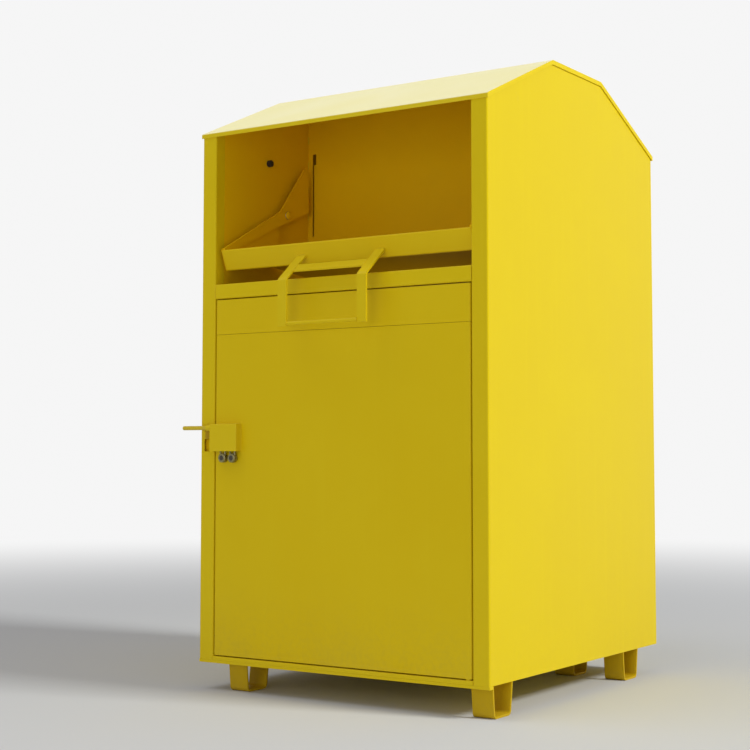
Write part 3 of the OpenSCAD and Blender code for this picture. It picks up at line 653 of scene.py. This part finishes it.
# lock: the bar's guide on the post, the staple plates and the hood on the door
(x0, _, z0), (x1, _, z1) = box_mm("bar_guide")
for end, z in (("top", z1 - 3.0), ("low", z0 + 3.0)):
    bead("weld_guide_" + end, (x0 + 1, -0.6, z), (x1 - 1, -0.6, z), "cabinet", thick=3.2)
weld_y = 0.7
for side in ("left", "right"):
    (x0, _, z0), (x1, _, _) = box_mm("staple_" + side)
    for edge, x in (("a", x0 - 0.3), ("b", x1 + 0.3)):
        bead(f"weld_staple_{side}_{edge}", (x, weld_y, z0 + 3), (x, weld_y, z0 + 36), "door")
(_, y0, z0), (x1, _, z1) = box_mm("lock_hood")
door_from = 64      # the hood also covers a strip of the post, to which it isn't welded
bead("weld_hood_top", (door_from, 0.6, z1 + 0.2), (x1 - 1, 0.6, z1 + 0.2), "door")
bead("weld_hood_end", (x1 + 0.2, 0.6, z0 + 1), (x1 + 0.2, 0.6, z1 - 1), "door")
# the hood's own corner, ground nearly flush
bead("weld_hood_corner", (x1 - 0.9, y0 + 0.9, z0 + 1), (x1 - 0.9, y0 + 0.9, z1 - 2.5), "door",
     thick=2.2)

# ---------------------------------------------------------------- feet, sill and guard
# feet: bent straps that narrow towards the sole, with a bead in front of and behind each
foot_thick, foot_height, foot_bend = 7.0, 100.0, 13.5
lean_front, lean_back, deeper = 9.0, 13.0, 12.0
# how far each strap's edges stand past the solid's, to the left and to the right
past_edges = {"front_left": (8, -3), "front_right": (5, 0), "rear_left": (8, -3),
              "rear_right": (5, 0), "rear_inner": (3, 3)}
half, strap_top = foot_thick / 2, 0.6
sole = half - foot_height
for name, (past_left, past_right) in past_edges.items():
    (x0, y0, _), (x1, y1, _) = box_mm("leg_" + name)
    x0, x1, y1 = x0 - past_left, x1 + past_right, y1 + deeper
    strap = bent_strap("strap_" + name, [(y0 + half, strap_top), (y0 + lean_front + half, sole),
                                         (y1 - lean_back - half, sole), (y1 - half, strap_top)],
                       foot_bend, foot_thick, x0, x1, "cabinet", foot_shaded_coat)
    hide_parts("leg_" + name)
    for edge, y in (("front", y0 - 0.4), ("back", y1 + 0.4)):
        bead(f"weld_foot_{name}_{edge}", (x0 + 2, y, -1.2), (x1 - 2, y, -1.2), "cabinet",
             thick=4.4)

# sill: the floor pan's edge hangs below the whole front, with a short return at each end
cabinet_wide, sill_low, sill_high, sill_thick, return_back = 1118.0, -10.0, -0.2, 3.0, 21.0
thin_plate("sill_strip", (0.0, 0.0, sill_low), (cabinet_wide, sill_thick, sill_high), "cabinet",
           shell_coat)
for side, x in (("left", 0.0), ("right", cabinet_wide - sill_thick)):
    thin_plate(f"sill_return_{side}", (x, sill_thick, sill_low),
               (x + sill_thick, return_back, sill_high), "cabinet", shell_coat)

# guard: the plate behind the post's window keeps hands off the bar; it takes the inside paint,
# brightened with painted bounce light
thin_plate("window_guard", (4.0, 12.0, 678.0), (54.0, 14.0, 748.0), "cabinet", inner_lit_coat)

# ---------------------------------------------------------------- small trim
# profiles of turned pieces, in metres: (distance along the axis, radius)
cover_ring = [(0.0004, 0.0053), (-0.0008, 0.0053), (-0.0011, 0.0057), (-0.0011, 0.0077),
              (-0.0007, 0.0082), (0.0004, 0.0082)]
rivet_head = [(0.0, 0.0019), (0.0005, 0.0018), (0.0009, 0.0012), (0.0011, 0.0004)]
screw_head = [(-0.001, 0.0026), (0.0003, 0.0026), (0.0007, 0.0022), (0.0009, 0.0012)]

# padlocks: rolled rims on both faces, a black cover round the keyway, and rivets behind
rivets_round = 8.5
for side in ("left", "right"):
    body = f"padlock_{side}"
    (_, y0, _), (_, y1, _) = box_mm(f"padlock_{side}_body")
    x, _, z = middle_mm(f"padlock_{side}_body")
    for part, y, around, thick in (("rim", y0 - 0.1, 0.0123, 0.0014),
                                   ("rear_rim", y1 + 0.1, 0.0123, 0.0014),
                                   ("step", y0 - 0.1, 0.0088, 0.0011)):
        rolled_rim(f"padlock_{side}_{part}", here(x, y, z), (0, 1, 0), around, thick, body,
                   lock_steel)
    turned(f"padlock_{side}_cover", cover_ring, here(x, y0, z), (0, 1, 0), body, black_cover,
           ring=True)
    for k in range(3):
        a = math.radians(90 + 120 * k)
        place = here(x + rivets_round * math.cos(a), y1 - 0.1, z + rivets_round * math.sin(a))
        turned(f"padlock_{side}_rivet_{k}", rivet_head, place, (0, 1, 0), body, lock_steel,
               sides=16)

# rubber buffers: a dark screw in the middle of each
for side, way in (("left", 1), ("right", -1)):
    _, y, z = middle_mm("cheek_plug_" + side)
    turned(f"buffer_screw_{side}", screw_head, here(inner_x("cheek_plug_" + side, side), y, z),
           (way, 0, 0), "cabinet", dark_brass, sides=24)

# pivot studs: a spring clip on each, beside the arm
clip_back = 9.0      # from the stud's free end
for side, way in (("left", 1), ("right", -1)):
    _, y, z = middle_mm("pivot_stud_" + side)
    x = inner_x("pivot_stud_" + side, side) - way * clip_back
    rolled_rim(f"stud_clip_{side}", here(x, y, z), (1, 0, 0), around=0.0142, thick=0.0016,
               body="cabinet", finish=zinc_plate)

# ---------------------------------------------------------------- camera
# focal length and picture centre in the photograph's pixels; yaw and pitch in radians
photo_width, sensor_width = 750, 36
focal_px, centre_px = 1517.18, (382.68, 344.87)
yaw, pitch = -0.58771, 0.06906
eye = corner + Vector((3.3655, -3.9424, 0.6976))
ahead = Vector((math.sin(yaw) * math.cos(pitch), math.cos(yaw) * math.cos(pitch), math.sin(pitch)))
right = Vector((math.cos(yaw), -math.sin(yaw), 0))
above = right.cross(ahead)
camera_data = bpy.data.cameras.new("camera")
camera = bpy.data.objects.new("camera", camera_data)
bpy.context.scene.collection.objects.link(camera)
camera.matrix_world = (Matrix.Translation(eye)
                       @ Matrix((right, above, -ahead)).transposed().to_4x4())
camera_data.sensor_width = sensor_width
camera_data.lens = sensor_width * focal_px / photo_width
camera_data.shift_x = -(centre_px[0] - photo_width / 2) / photo_width
camera_data.shift_y = (centre_px[1] - photo_width / 2) / photo_width
camera_data.clip_end = 200
bpy.context.scene.camera = camera

# ---------------------------------------------------------------- floor and background
floor_half = 90.0
floor_mesh = bpy.data.meshes.new("floor")
floor_mesh.from_pydata([(-floor_half, -floor_half, 0), (floor_half, -floor_half, 0),
                        (floor_half, floor_half, 0), (-floor_half, floor_half, 0)],
                       [], [(0, 1, 2, 3)])
floor = bpy.data.objects.new("floor", floor_mesh)
bpy.context.scene.collection.objects.link(floor)
floor_mesh.materials.append(studio_floor("floor_tone", (0.66, 0.67, 0.71), near=2.2, far=9.0))

world = bpy.data.worlds.new("studio")
world.use_nodes = True
bpy.context.scene.world = world
wt = world.node_tree
wt.nodes.clear()
out = wt.nodes.new("ShaderNodeOutputWorld")
soft = node(wt, "ShaderNodeBackground", Color=(1.0, 0.98, 0.95, 1), Strength=0.345)
seen = node(wt, "ShaderNodeBackground", Color=(*pale, 1), Strength=1.0)
choose = wt.nodes.new("ShaderNodeMixShader")
wt.links.new(seen_rays(wt), choose.inputs[0])
wt.links.new(soft.outputs[0], choose.inputs[1])
wt.links.new(seen.outputs[0], choose.inputs[2])
wt.links.new(choose.outputs[0], out.inputs["Surface"])


# ---------------------------------------------------------------- light
def lamp(name, place, aim, size, power, colour):
    """A square area light at place, facing aim."""
    data = bpy.data.lights.new(name, "AREA")
    data.size = size
    data.energy = power
    data.color = colour
    obj = bpy.data.objects.new(name, data)
    bpy.context.scene.collection.objects.link(obj)
    obj.location = place
    obj.rotation_euler = (Vector(aim) - Vector(place)).to_track_quat("-Z", "Y").to_euler()
    return obj


key = lamp("key", place=(14.4, 1.62, 10.7), aim=(0, 0, 1.0), size=3.6, power=1985,
           colour=(0.985, 1.0, 0.94))
key.visible_glossy = False      # seen head-on in the glossy roof it would burn out
lamp("front_fill", place=(1.2, -6.2, 1.5), aim=(0, 0, 1.3), size=2.4, power=39,
     colour=(1.0, 0.98, 0.95))
lamp("overhead", place=(-1.6, -2.2, 6.4), aim=(0, 0, 1.6), size=3.6, power=72,
     colour=(1.0, 1.0, 0.97))
# daylight that finds its way in, seen in the gap under the tray's lip
inside = lamp("inside_glow", place=(0, 0.05, 1.0), aim=(0, 0.05, 2.0), size=0.5, power=0.42,
              colour=(1.0, 0.74, 0.38))
inside.visible_camera = False

bpy.context.scene.view_settings.view_transform = "Standard"
